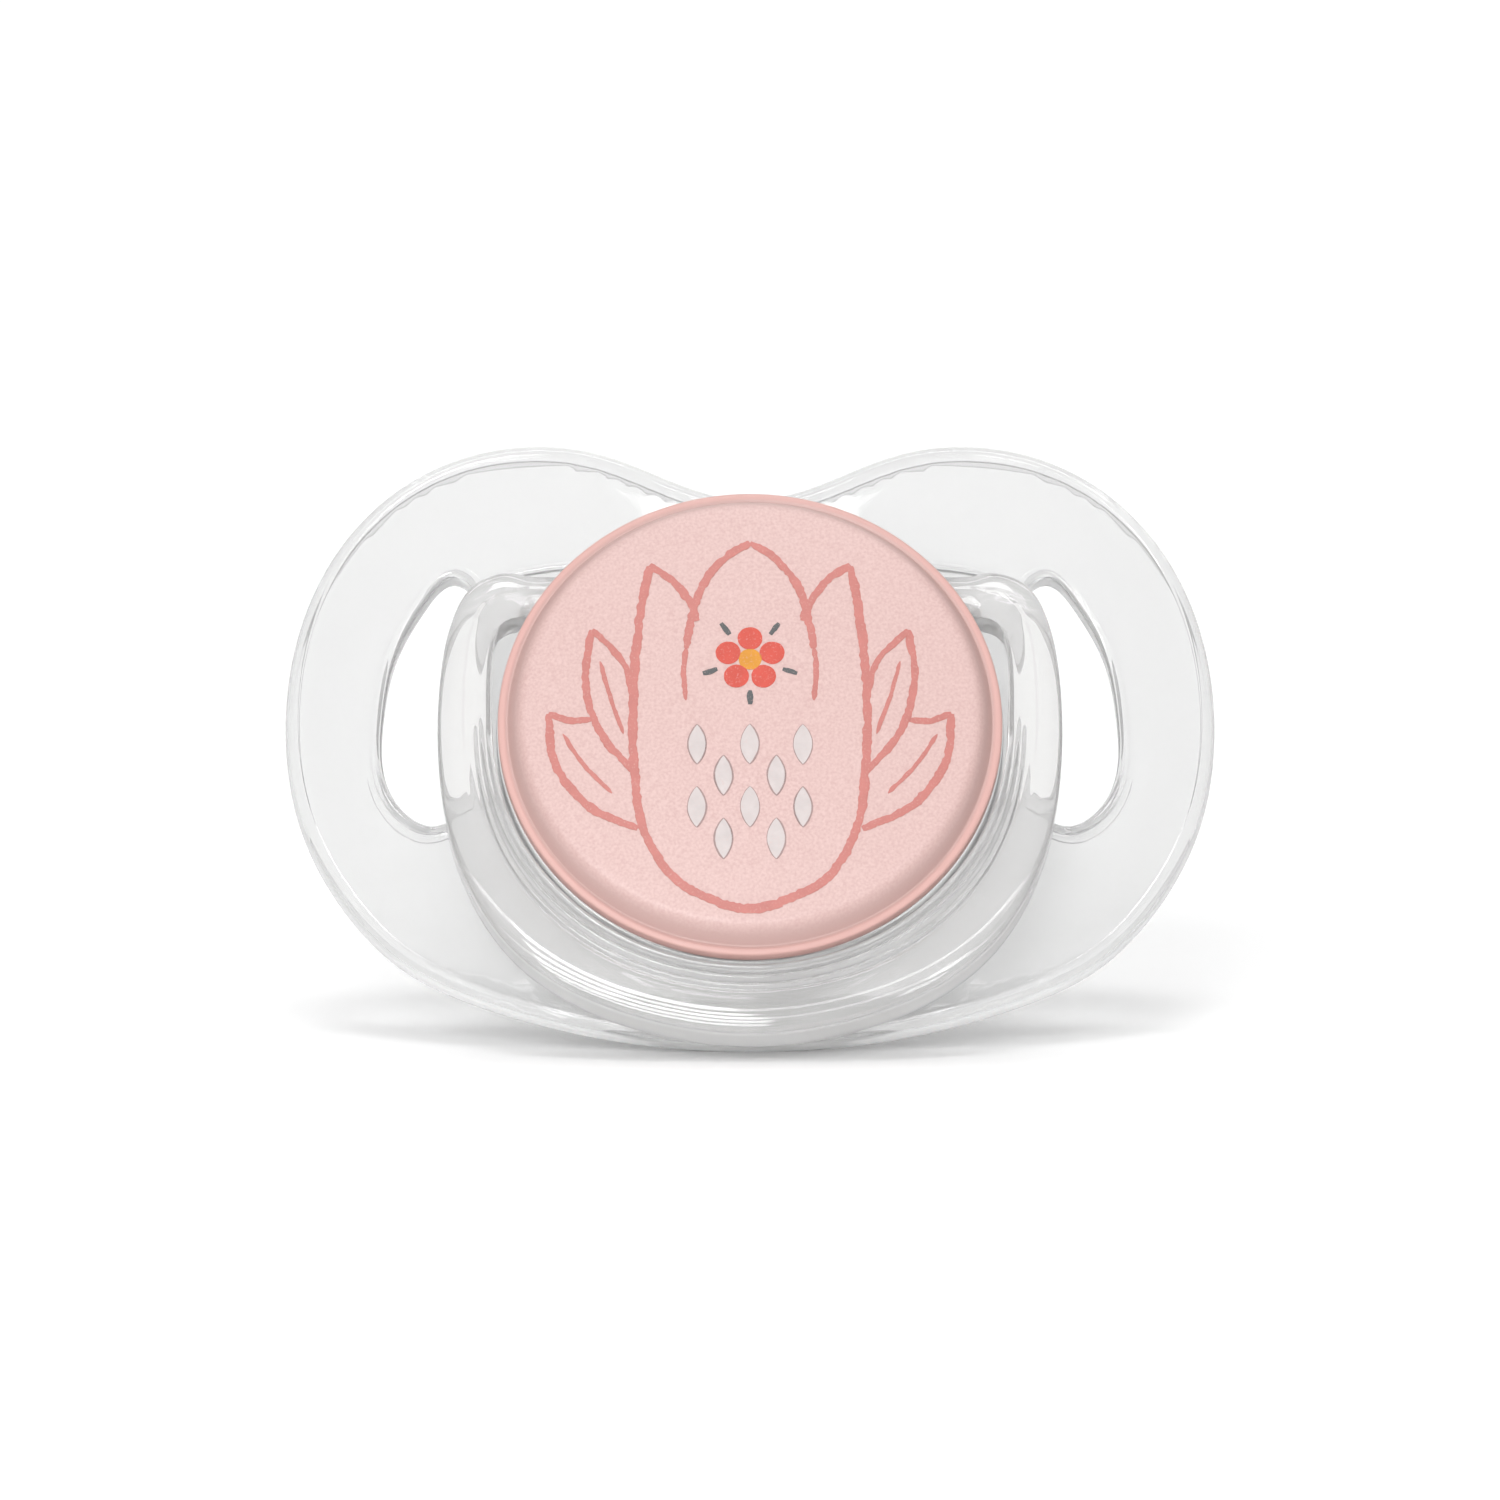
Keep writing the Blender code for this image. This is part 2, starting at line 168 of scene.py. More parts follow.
# The collar inside the arms rises from its foot, and fades out towards the bar
COLLAR_FOOT = -0.97
COLLAR_TOP = 1.0 * MM
COLLAR_BLEND = 7.0 * MM

# Button cover, as in the CAD
COVER_RADIUS = 15.8 * MM
COVER_BACK = -4.5 * MM
COVER_APEX = -7.6 * MM
DOME_RADIUS = 13.7 * MM
DOME_EDGE = -6.9 * MM
FACE_RADIUS = 14.3 * MM
COVER_SKIRT_INSIDE = 14.2 * MM
COVER_CEILING = -5.8 * MM

# Teat, as in the CAD
TEAT_FLANGE_RADIUS = 6.7 * MM
TEAT_FLANGE_FRONT = -2.2 * MM
TEAT_FLANGE_BACK = -1.0 * MM
TEAT_NECK_RADIUS = 4.7 * MM
TEAT_NECK_END = 5.0 * MM
TEAT_BULB_RADIUS = 6.8 * MM
TEAT_BULB_Y = 21.0 * MM
TEAT_TIP_Y = 29.0 * MM
TEAT_WALL = 1.4 * MM
TEAT_WIDENING = 1.18

# Plug in the teat's neck, and the keeper plate behind the button, as in the CAD
PLUG_STEM_RADIUS = 3.0 * MM
PLUG_STEM_END = 6.0 * MM
PLUG_FLANGE_BACK = -2.5 * MM
PLUG_FLANGE_FRONT = -3.9 * MM
BASE_RADIUS = 13.9 * MM
BASE_BACK = -4.5 * MM
BASE_FRONT = -5.5 * MM
BASE_PAD_RADIUS = 6.4 * MM
PEG_RADIUS = 0.8 * MM
PEG_TIP = -1.2 * MM

# Camera: a long lens, level enough that the button's round outline is seen 24 degrees off its axis
IMAGE_SIZE = 1500
FRAME_WIDTH = IMAGE_SIZE * 0.0625 * MM
CAMERA_ELEVATION = math.radians(6.2)
CAMERA_DISTANCE = 0.9
SENSOR_WIDTH = 36.0
RIM_BELOW_MIDDLE = 18.9 * MM

# Studio light: strengths against the angle in degrees, from the front horizon over the top to the back.
# An edge is where the light fades to its side share, as the sideways part of the direction.
LIGHT_LEVEL = 0.86
PROFILE_SCALE = 10.0
SWEEP_EDGE = (0.10, 0.45)
SWEEP_SIDE_SHARE = 0.35
SOFTBOX_EDGE = (0.40, 0.75)
SOFTBOX_SIDE_SHARE = 0.15
SWEEP_LIGHT = [(0, 0.7), (35, 0.6), (60, 0.4), (105, 0.2), (125, 0.9), (150, 1.2), (165, 0.9), (180, 0.9)]
SOFTBOX_LIGHT = [
    (20, 0.0),
    (22, 5.0),
    (24, 5.0),
    (25, 0.1),
    (36, 0.1),
    (37, 7.0),
    (38.5, 7.0),
    (39.5, 0.2),
    (52, 0.6),
    (72, 0.72),
    (104, 0.72),
    (105, 6.0),
    (109, 6.0),
    (110, 0.5),
    (140, 0.1),
]
TABLE_GLOW = 0.05
# Window panes: lower and upper angle, left and right side of their direction, and strength
WINDOW_PANES = [
    (5, 11, -0.50, 0.06, 11.0),
    (13, 19, -0.50, 0.06, 11.0),
    (21, 26, -0.45, 0.04, 13.0),
    (28, 33, -0.40, 0.02, 13.0),
    (35, 40, -0.35, 0.00, 11.0),
    (10, 17, 0.30, 0.46, 7.0),
    (20, 27, 0.30, 0.46, 7.0),
    (69, 84, -0.18, 0.18, 8.0),
]
PANE_SOFTNESS_UP = 1.0
PANE_SOFTNESS_ACROSS = 0.03


def own_frame():
    """The matrix from the shield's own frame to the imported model's, from the record's mount and hinge."""
    record = frame["record"]
    face = Vector(record["mounts"][0]["axis"])
    hinge = Vector(frame["joints"][0]["pos_m"])
    turn = Matrix.Rotation(-math.atan2(face.z, -face.y), 4, "X")
    place = hinge - turn @ Vector((0.0, HINGE_Y, HINGE_Z))
    return Matrix.Translation(place) @ turn


LEAN = own_frame()


# ---------------------------------------------------------------- shapes


def mirrored(half):
    """A closed outline from its right half, which starts and may end on the plane x = 0."""
    return half + [(-x, z) for x, z in reversed(half) if x > 0]


def closed_spline(knots, count):
    """Evenly spaced points on the smooth closed curve through the knots, of any dimension."""
    points = np.array(knots, float)
    total = len(points)
    after = np.roll(points, -1, 0)
    steps = np.linalg.norm(after - points, axis=1)
    slopes = (after - points) / steps[:, None]
    matrix = np.zeros((total, total))
    right = np.zeros_like(points)
    for i in range(total):
        before = (i - 1) % total
        matrix[i, before] += 1 / steps[before]
        matrix[i, i] += 2 / steps[before] + 2 / steps[i]
        matrix[i, (i + 1) % total] += 1 / steps[i]
        right[i] = 3 * (slopes[before] / steps[before] + slopes[i] / steps[i])
    tangents = np.linalg.solve(matrix, right)
    fine = []
    fine_steps = 40
    for i in range(total):
        for t in np.arange(fine_steps) / fine_steps:
            start = (1 + 2 * t) * (1 - t) ** 2 * points[i] + t * (1 - t) ** 2 * steps[i] * tangents[i]
            end_tangent = tangents[(i + 1) % total]
            end = t * t * (3 - 2 * t) * after[i] + t * t * (t - 1) * steps[i] * end_tangent
            fine.append(start + end)
    fine = np.array(fine + [fine[0]])
    lengths = np.concatenate([[0], np.cumsum(np.linalg.norm(np.diff(fine, axis=0), axis=1))])
    wanted = np.linspace(0, lengths[-1], count, endpoint=False)
    return np.stack([np.interp(wanted, lengths, fine[:, k]) for k in range(points.shape[1])], 1)


def outward_normals(loop):
    """Unit normals of a closed loop of (x, z) points, away from what it encloses."""
    ahead = np.roll(loop, -1, 0) - np.roll(loop, 1, 0)
    normals = np.stack([ahead[:, 1], -ahead[:, 0]], 1)
    normals /= np.linalg.norm(normals, axis=1)[:, None]
    area = np.sum(loop[:, 0] * np.roll(loop[:, 1], -1) - np.roll(loop[:, 0], -1) * loop[:, 1])
    return normals if area > 0 else -normals


def inside(points, loop):
    """Which of the (x, z) points a closed loop encloses."""
    x, z = points[:, 0, None], points[:, 1, None]
    x0, z0 = loop[:, 0], loop[:, 1]
    x1, z1 = np.roll(x0, -1), np.roll(z0, -1)
    crosses = (z0 > z) != (z1 > z)
    with np.errstate(divide="ignore", invalid="ignore"):
        left = x < (x1 - x0) * (z - z0) / (z1 - z0) + x0
    return np.sum(crosses & left, axis=1) % 2 == 1


def sag(x, z):
    """How far the shield's middle surface has curved back."""
    across = PLATE_RADIUS_ACROSS - math.sqrt(PLATE_RADIUS_ACROSS**2 - x**2)
    return across + PLATE_RADIUS_UP - math.sqrt(PLATE_RADIUS_UP**2 - z**2)


def new_piece(name, mesh, body, surface, stands_for=()):
    """A finished piece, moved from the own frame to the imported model's place."""
    mesh.transform(LEAN)
    piece = bpy.data.objects.new(name, mesh)
    bpy.context.scene.collection.objects.link(piece)
    mesh.materials.clear()
    mesh.materials.append(surface)
    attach(piece, body)
    if stands_for:
        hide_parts(*stands_for)
    return piece


def smooth(mesh, sharp_degrees=40):
    mesh.shade_smooth()
    mesh.set_sharp_from_angle(angle=math.radians(sharp_degrees))
    return mesh


def mesh_from(name, points, faces):
    mesh = bpy.data.meshes.new(name)
    corners = [tuple(map(float, point)) for point in points]
    mesh.from_pydata(corners, [], [tuple(map(int, face)) for face in faces])
    form = bmesh.new()
    form.from_mesh(mesh)
    bmesh.ops.recalc_face_normals(form, faces=form.faces)
    form.to_mesh(mesh)
    form.free()
    return mesh


def lathe(name, profile, sides):
    """A solid turned about the Y axis. Its (radius, y) points end on the axis or form a closed loop."""
    points = []
    rings = []
    for radius, y in profile:
        if radius < 1e-7:
            rings.append([len(points)] * sides)
            points.append((0.0, y, 0.0))
            continue
        rings.append(list(range(len(points), len(points) + sides)))
        for side in range(sides):
            angle = 2 * math.pi * side / sides
            points.append((radius * math.cos(angle), y, radius * math.sin(angle)))
    faces = []
    pairs = list(zip(rings, rings[1:]))
    if profile[0][0] > 1e-7:
        pairs.append((rings[-1], rings[0]))
    for low, high in pairs:
        for side in range(sides):
            following = (side + 1) % sides
            corners = [low[side], low[following], high[following], high[side]]
            distinct = list(dict.fromkeys(corners))
            if len(distinct) > 2:
                faces.append(distinct)
    return mesh_from(name, points, faces)


def rounded(profile, radius, steps=4):
    """The profile with its inner corners rounded; its first and last point stay."""
    result = [profile[0]]
    for before, corner, after in zip(profile, profile[1:], profile[2:]):
        before, corner, after = Vector(before), Vector(corner), Vector(after)
        reach = min(radius, (before - corner).length * 0.45, (after - corner).length * 0.45)
        start = corner + (before - corner).normalized() * reach
        end = corner + (after - corner).normalized() * reach
        for step in range(steps + 1):
            t = step / steps
            result.append(tuple((1 - t) ** 2 * start + 2 * t * (1 - t) * corner + t * t * end))
    result.append(profile[-1])
    return result


def tube(points, sections):
    """Faces of a closed ring of equal sections, each a closed loop."""
    count = len(sections)
    size = len(sections[0])
    for section in sections:
        points.extend(section)
    faces = []
    for i in range(count):
        following = (i + 1) % count
        for k in range(size):
            up = (k + 1) % size
            faces.append((i * size + k, following * size + k, following * size + up, i * size + up))
    return faces


def boolean(mesh, cutter_meshes):
    """Applies the Booleans with (operation, mesh) pairs one after the other and returns the new mesh."""
    obj = bpy.data.objects.new("work", mesh)
    bpy.context.scene.collection.objects.link(obj)
    helpers = []
    for operation, other in cutter_meshes:
        helper = bpy.data.objects.new("helper", other)
        bpy.context.scene.collection.objects.link(helper)
        helpers.append(helper)
        step = obj.modifiers.new(operation.lower(), "BOOLEAN")
        step.operation = operation
        step.solver = "EXACT"
        step.object = helper
    bpy.context.view_layer.update()
    graph = bpy.context.evaluated_depsgraph_get()
    result = bpy.data.meshes.new_from_object(obj.evaluated_get(graph))
    for helper in [obj, *helpers]:
        bpy.data.objects.remove(helper)
    return result


# ---------------------------------------------------------------- materials


class Surface:
    """A Principled material and short ways to add nodes to it."""

    def __init__(self, name, color, roughness, **constants):
        self.material = bpy.data.materials.new(name)
        self.material.use_nodes = True
        self.tree = self.material.node_tree
        self.shader = self.tree.nodes["Principled BSDF"]
        self.shader.inputs["Base Color"].default_value = (*color, 1.0)
        self.shader.inputs["Roughness"].default_value = roughness
        for socket, value in constants.items():
            self.shader.inputs[socket.replace("_", " ")].default_value = value
        upright = self.node("ShaderNodeMapping", vector_type="TEXTURE")
        upright.inputs["Location"].default_value = LEAN.translation
        upright.inputs["Rotation"].default_value = LEAN.to_euler()
        self.link(self.node("ShaderNodeTexCoord").outputs["Object"], upright.inputs["Vector"])
        self.coordinates = upright.outputs["Vector"]

    def node(self, kind, **settings):
        made = self.tree.nodes.new(kind)
        for key, value in settings.items():
            setattr(made, key, value)
        return made

    def link(self, output, target):
        self.tree.links.new(output, target)

    def noise(self, features_per_mm, detail=3.0, roughness=0.55, stretch=(1.0, 1.0, 1.0)):
        """Noise with so many features a millimetre, stretched along each axis."""
        mapping = self.node("ShaderNodeMapping")
        mapping.inputs["Scale"].default_value = [features_per_mm * 1000 * part for part in stretch]
        self.link(self.coordinates, mapping.inputs["Vector"])
        made = self.node("ShaderNodeTexNoise")
        made.inputs["Scale"].default_value = 1.0
        made.inputs["Detail"].default_value = detail
        made.inputs["Roughness"].default_value = roughness
        self.link(mapping.outputs["Vector"], made.inputs["Vector"])
        return made.outputs["Fac"]

    def spread(self, value, low, high, from_low=0.3, from_high=0.7):
        """The value's usual range spread over low to high."""
        made = self.node("ShaderNodeMapRange")
        made.inputs["From Min"].default_value = from_low
        made.inputs["From Max"].default_value = from_high
        made.inputs["To Min"].default_value = low
        made.inputs["To Max"].default_value = high
        self.link(value, made.inputs["Value"])
        return made.outputs["Result"]

    def face_on(self):
        """1 where the surface faces along the piece's front to back axis, and 0 where it faces across it."""
        axis = LEAN.to_3x3() @ Vector((0.0, 1.0, 0.0))
        product = self.node("ShaderNodeVectorMath", operation="DOT_PRODUCT")
        product.inputs[1].default_value = axis
        self.link(self.node("ShaderNodeTexCoord").outputs["Normal"], product.inputs[0])
        size = self.node("ShaderNodeMath", operation="ABSOLUTE")
        self.link(product.outputs["Value"], size.inputs[0])
        return size.outputs[0]

    def bump(self, height, depth_mm, strength=1.0):
        """A bump whose full height is so many millimetres, on top of the bumps added before."""
        made = self.node("ShaderNodeBump")
        made.inputs["Distance"].default_value = depth_mm * MM
        made.inputs["Strength"].default_value = strength
        self.link(height, made.inputs["Height"])
        normal = self.shader.inputs["Normal"]
        if normal.is_linked:
            self.link(normal.links[0].from_socket, made.inputs["Normal"])
        self.link(made.outputs["Normal"], normal)

    def mix(self, factor, first, second):
        """A colour mix; first and second are colours or sockets."""
        made = self.node("ShaderNodeMix", data_type="RGBA")
        self.link(factor, made.inputs[0])
        for value, socket in ((first, made.inputs[6]), (second, made.inputs[7])):
            if isinstance(value, tuple):
                socket.default_value = (*value, 1.0)
            else:
                self.link(value, socket)
        return made.outputs[2]

    def color(self, output):
        self.link(output, self.shader.inputs["Base Color"])

    def roughness(self, output):
        self.link(output, self.shader.inputs["Roughness"])


def clear_plastic(name, tint, haze, clarity, edge_clarity, ior=1.47):
    """Clear moulded plastic, milkier in its edges, with faint flow waves, fine marks and uneven polish."""
    surface = Surface(name, tint, haze, IOR=ior)
    surface.bump(surface.noise(0.10, 1.0), 0.002, 0.6)
    surface.bump(surface.noise(2.2, 2.0, stretch=(1.0, 1.0, 0.15)), 0.0003, 0.35)
    surface.roughness(surface.spread(surface.noise(1.6, 4.0), haze * 0.6, haze * 1.5))
    through = surface.spread(surface.face_on(), edge_clarity, clarity, 0.15, 0.6)
    surface.link(through, surface.shader.inputs["Transmission Weight"])
    surface.color(surface.mix(surface.noise(0.3), tint, tuple(part * 0.98 for part in tint)))
    return surface.material


def silicone():
    """Clear silicone rubber: satin and faintly milky, with slow waves from its mould and fine dust."""
    surface = Surface("silicone_rubber", (0.97, 0.97, 0.96), 0.12, Transmission_Weight=0.9, IOR=1.41)
    surface.bump(surface.noise(0.35, 1.0), 0.008, 0.5)
    surface.bump(surface.noise(5.0, 1.0), 0.0006, 0.4)
    surface.roughness(surface.spread(surface.noise(0.8, 2.0), 0.15, 0.27))
    surface.color(surface.mix(surface.noise(0.25), (0.95, 0.95, 0.94), (0.92, 0.925, 0.915)))
    return surface.material


def pink_frost():
    """Pale pink plastic with a fine frosted grain on its face, painted shade in the groove inside its lip,
    and a deeper pink lip.
    """
    surface = Surface("pink_frosted_plastic", (0.581, 0.387, 0.361), 0.42)
    grain = surface.noise(5.5, 2.0, 0.5)
    surface.bump(grain, 0.014, 0.45)
    surface.roughness(surface.spread(surface.noise(1.2), 0.36, 0.48))
    tone = surface.mix(surface.noise(0.15), (0.515, 0.346, 0.325), (0.495, 0.326, 0.305))
    face = surface.mix(surface.spread(grain, 0.0, 1.0), tone, (0.581, 0.414, 0.392))
    parts = surface.node("ShaderNodeSeparateXYZ")
    surface.link(surface.coordinates, parts.inputs[0])
    flat = surface.node("ShaderNodeCombineXYZ")
    surface.link(parts.outputs["X"], flat.inputs["X"])
    surface.link(parts.outputs["Z"], flat.inputs["Z"])
    radius = surface.node("ShaderNodeVectorMath", operation="LENGTH")
    surface.link(flat.outputs[0], radius.inputs[0])
    # Painted shade: from 14.2 to 15.0 mm out the face darkens to a duller pink for the shade in the groove
    # inside the lip; past 15.25 mm the lip's own deeper pink takes over.
    groove_shade = surface.spread(radius.outputs["Value"], 0.0, 1.0, 14.2 * MM, 15.0 * MM)
    lip = surface.spread(radius.outputs["Value"], 0.0, 1.0, 15.25 * MM, 15.45 * MM)
    rim = surface.mix(lip, (0.488, 0.324, 0.301), (0.55, 0.33, 0.301))
    surface.color(surface.mix(groove_shade, face, rim))
    return surface.material


def white_plastic():
    surface = Surface("white_moulded_plastic", (0.88, 0.86, 0.85), 0.4)
    surface.bump(surface.noise(4.0, 2.0), 0.004, 0.4)
    surface.roughness(surface.spread(surface.noise(0.7), 0.32, 0.48))
    surface.color(surface.mix(surface.noise(0.2), (0.88, 0.86, 0.85), (0.85, 0.82, 0.81)))
    return surface.material


def ink(name, color, ground=(0.515, 0.346, 0.325)):
    """Pad-printed ink: speckled, with the pink showing through in pinholes."""
    surface = Surface(name, color, 0.45)
    speckle = surface.noise(7.0, 3.0, 0.7)
    darker = tuple(part * 0.88 for part in color)
    worn = tuple(0.55 * part + 0.45 * base for part, base in zip(color, ground))
    body = surface.mix(surface.spread(surface.noise(1.1), 0.0, 1.0), color, darker)
    surface.color(surface.mix(surface.spread(speckle, 0.0, 1.0, 0.56, 0.72), body, worn))
    surface.bump(speckle, 0.006, 0.5)
    surface.roughness(surface.spread(speckle, 0.38, 0.55))
    return surface.material


# ---------------------------------------------------------------- shield


def plate_face(loops, spacing):
    """Triangles between closed loops, the outer one first: (points, faces, indexes of the loops' points)."""
    points = [tuple(point) for loop in loops for point in loop]
    edges = []
    start = 0
    for loop in loops:
        size = len(loop)
        edges += [(start + i, start + (i + 1) % size) for i in range(size)]
        start += size
    rim = np.array(points)
    low = rim.min(0)
    high = rim.max(0)
    grid = []
    rows = int((high[1] - low[1]) / (spacing * 0.866)) + 1
    for row in range(rows):
        shift = spacing / 2 if row % 2 else 0.0
        z = low[1] + row * spacing * 0.866
        columns = np.arange(-int(0.035 / spacing), int(0.035 / spacing) + 1) * spacing + shift
        grid += [(x, z) for x in columns]
    grid = np.array(grid)
    keep = inside(grid, np.array(loops[0]))
    for loop in loops[1:]:
        keep &= ~inside(grid, np.array(loop))
    grid = grid[keep]
    nearest = np.array([np.min(np.hypot(*(rim - point).T)) for point in grid])
    grid = grid[nearest > spacing * 0.6]
    points += [tuple(point) for point in grid]
    made = geometry.delaunay_2d_cdt([Vector(point) for point in points], edges, [], 0, 1e-9)
    verts = np.array([tuple(vertex) for vertex in made[0]])
    origin = {group[0]: index for index, group in enumerate(made[3]) if group}
    faces = np.array([face for face in made[2] if len(face) == 3])
    middle = verts[faces].mean(1)
    keep = inside(middle, np.array(loops[0]))
    for loop in loops[1:]:
        keep &= ~inside(middle, np.array(loop))
    return verts, faces[keep], [origin[i] for i in range(start)]


def edge_profile(radius):
    """(inset, depth) round an edge, front to back: a low bead, a round edge and the bead again."""
    level = PLATE_HALF_THICKNESS - BEAD_HEIGHT
    front = []
    for t in np.linspace(0, 1, 5):
        front.append((radius + BEAD_FLAT + BEAD_SLOPE * (1 - t), level + BEAD_HEIGHT * t * t * (3 - 2 * t)))
    for angle in np.linspace(0, math.pi / 2, 6):
        inset = radius * (1 - math.sin(angle))
        front.append((inset, PLATE_HALF_THICKNESS - radius * (1 - math.cos(angle))))
    return [(inset, -depth) for inset, depth in front] + front[::-1]


def plate_mesh():
    """The curved plate, with a round edge and a low bead along its rim and its vents."""
    right_vent = closed_spline(VENT_OUTLINE, 120)
    edges = [
        (closed_spline(mirrored(PLATE_HALF_OUTLINE), 360), -1, edge_profile(RIM_RADIUS)),
        (right_vent, 1, edge_profile(VENT_RIM_RADIUS)),
        (right_vent * (-1, 1), 1, edge_profile(VENT_RIM_RADIUS)),
    ]
    inner_loops = [loop + way * profile[0][0] * outward_normals(loop) for loop, way, profile in edges]
    flat, faces, rim_index = plate_face(inner_loops, 0.8 * MM)
    count = len(flat)
    level = PLATE_HALF_THICKNESS - BEAD_HEIGHT
    points = [(x, sag(x, z) - level, z) for x, z in flat] + [(x, sag(x, z) + level, z) for x, z in flat]
    all_faces = [tuple(face) for face in faces] + [tuple(face + count) for face in faces]
    start = 0
    for loop, way, profile in edges:
        normals = outward_normals(loop)
        size = len(loop)
        front = rim_index[start : start + size]
        rings = [front]
        for inset, depth in profile[1:-1]:
            rings.append(list(range(len(points), len(points) + size)))
            for x, z in loop + way * inset * normals:
                points.append((x, sag(x, z) + depth, z))
        rings.append([index + count for index in front])
        for low, high in zip(rings, rings[1:]):
            for i in range(size):
                following = (i + 1) % size
                all_faces.append((low[i], low[following], high[following], high[i]))
        start += size
    return mesh_from("plate", points, all_faces)


def rib_mesh(name, knots, radius):
    """A low round rib on the plate's front, along a path."""
    path = smooth_run(knots, 0.25 * MM)
    ahead = np.gradient(path, axis=0)
    across = np.stack([-ahead[:, 1], ahead[:, 0]], 1) / np.linalg.norm(ahead, axis=1)[:, None]
    sides = 16
    points = []
    faces = []
    for point, way in zip(path, across):
        for side in range(sides):
            angle = 2 * math.pi * side / sides
            x, z = point + way * radius * math.cos(angle)
            points.append((x, sag(x, z) - PLATE_HALF_THICKNESS + radius * math.sin(angle), z))
    for i in range(len(path) - 1):
        for side in range(sides):
            up = (side + 1) % sides
            faces.append((i * sides + side, i * sides + up, (i + 1) * sides + up, (i + 1) * sides + side))
    faces.append(tuple(range(sides)))
    faces.append(tuple(range(len(points) - 1, len(points) - 1 - sides, -1)))
    return mesh_from(name, points, faces)


def disc_slab(name, outline, front, back):
    """A straight solid between two depths from an outline of (x, z) points."""
    size = len(outline)
    points = [(x, front, z) for x, z in outline] + [(x, back, z) for x, z in outline]
    faces = [tuple(range(size)), tuple(range(2 * size - 1, size - 1, -1))]
    faces += [(i, (i + 1) % size, size + (i + 1) % size, size + i) for i in range(size)]
    return mesh_from(name, points, faces)


def round_outline(radius, sides, centre=(0.0, 0.0)):
    angles = [2 * math.pi * side / sides for side in range(sides)]
    return [(centre[0] + radius * math.cos(angle), centre[1] + radius * math.sin(angle)) for angle in angles]


def channel_mesh():
    """The bar's channel: round at the bottom and open to the front, through the whole hub."""
    reach = PLINTH_RADIUS + 2 * MM
    steps = 24
    section = []
    for step in range(steps + 1):
        angle = math.pi * step / steps
        y, z = CHANNEL_RADIUS * math.sin(angle), CHANNEL_RADIUS * math.cos(angle)
        section.append((HINGE_Y + y, HINGE_Z + z))
    section.append((HUB_FRONT - 2 * MM, HINGE_Z - CHANNEL_RADIUS))
    section.append((HUB_FRONT - 2 * MM, HINGE_Z + CHANNEL_RADIUS))
    size = len(section)
    points = [(-reach, y, z) for y, z in section] + [(reach, y, z) for y, z in section]
    faces = [tuple(range(size)), tuple(range(2 * size - 1, size - 1, -1))]
    faces += [(i, (i + 1) % size, size + (i + 1) % size, size + i) for i in range(size)]
    return mesh_from("channel", points, faces)


def plinth_mesh():
    """The top part of a slightly wider hub, with a round front edge, which frames the button's top."""
    corners = [(0.0, PLINTH_FRONT), (PLINTH_RADIUS, PLINTH_FRONT), (PLINTH_RADIUS, HUB_BACK)]
    profile = rounded(corners, 0.3 * MM, 6)
    whole = lathe("plinth", profile + [(0.0, HUB_BACK)], 200)
    reach = PLINTH_RADIUS + MM
    corners = [(-reach, PLINTH_BOTTOM), (reach, PLINTH_BOTTOM), (reach, reach), (-reach, reach)]
    top = disc_slab("plinth_top", corners, PLINTH_FRONT - MM, HUB_BACK + MM)
    return boolean(whole, [("INTERSECT", top)])


def make_shield(surface, hub_surface):
    profile = rounded([(0.0, HUB_FRONT), (HUB_RADIUS, HUB_FRONT), (HUB_RADIUS, HUB_BACK)], 0.25 * MM)
    past_front = HUB_FRONT - 2 * MM
    bore = round_outline(TEAT_BORE_RADIUS, 96)
    seat = round_outline(FLANGE_SEAT_RADIUS, 96)
    steps = [
        ("UNION", lathe("hub", profile + [(0.0, HUB_BACK)], 200)),
        ("UNION", plinth_mesh()),
        ("UNION", rib_mesh("rib", GUARD_RIB, GUARD_RADIUS)),
        ("UNION", rib_mesh("rib", [(-x, z) for x, z in GUARD_RIB], GUARD_RADIUS)),
        ("DIFFERENCE", channel_mesh()),
        ("DIFFERENCE", disc_slab("bore", bore, past_front, 3 * MM)),
        ("DIFFERENCE", disc_slab("seat", seat, past_front, FLANGE_SEAT_FLOOR)),
    ]
    for place in PEG_PLACES:
        hole = disc_slab("peg_hole", round_outline(PEG_HOLE_RADIUS, 32, place), past_front, PEG_HOLE_FLOOR)
        steps.append(("DIFFERENCE", hole))
    mesh = smooth(boolean(plate_mesh(), steps), 35)
    hub_faces = []
    for face in mesh.polygons:
        x, y, z = face.center
        before_plate = y < sag(x, z) - PLATE_HALF_THICKNESS - HUB_MARGIN
        hub_faces.append(math.hypot(x, z) < PLINTH_RADIUS + HUB_MARGIN and before_plate)
    piece = new_piece("clear_shield", mesh, "body", surface, ["shield"])
    mesh.materials.append(hub_surface)
    mesh.polygons.foreach_set("material_index", [int(on_hub) for on_hub in hub_faces])
    return piece


# ---------------------------------------------------------------- ring handle


def ring_section(centre, across, half_width, bar, collar):
    """One section of the ring: the arm's moulded shape with a share of its collar, or of the bar's circle."""
    section = []
    for i, (u, w) in enumerate(ARM_SECTION):
        angle = -2 * math.pi * i / len(ARM_SECTION)
        if u < 0.0 and w < COLLAR_FOOT:
            w = COLLAR_FOOT + (w - COLLAR_FOOT) * collar
        u = bar * math.cos(angle) + (1 - bar) * u
        w = bar * math.sin(angle) + (1 - bar) * w
        x, z = centre[0] + across[0] * half_width * u, centre[1] + across[1] * half_width * u
        section.append((x, HINGE_Y + RING_HALF_THICKNESS * w, z))
    return section


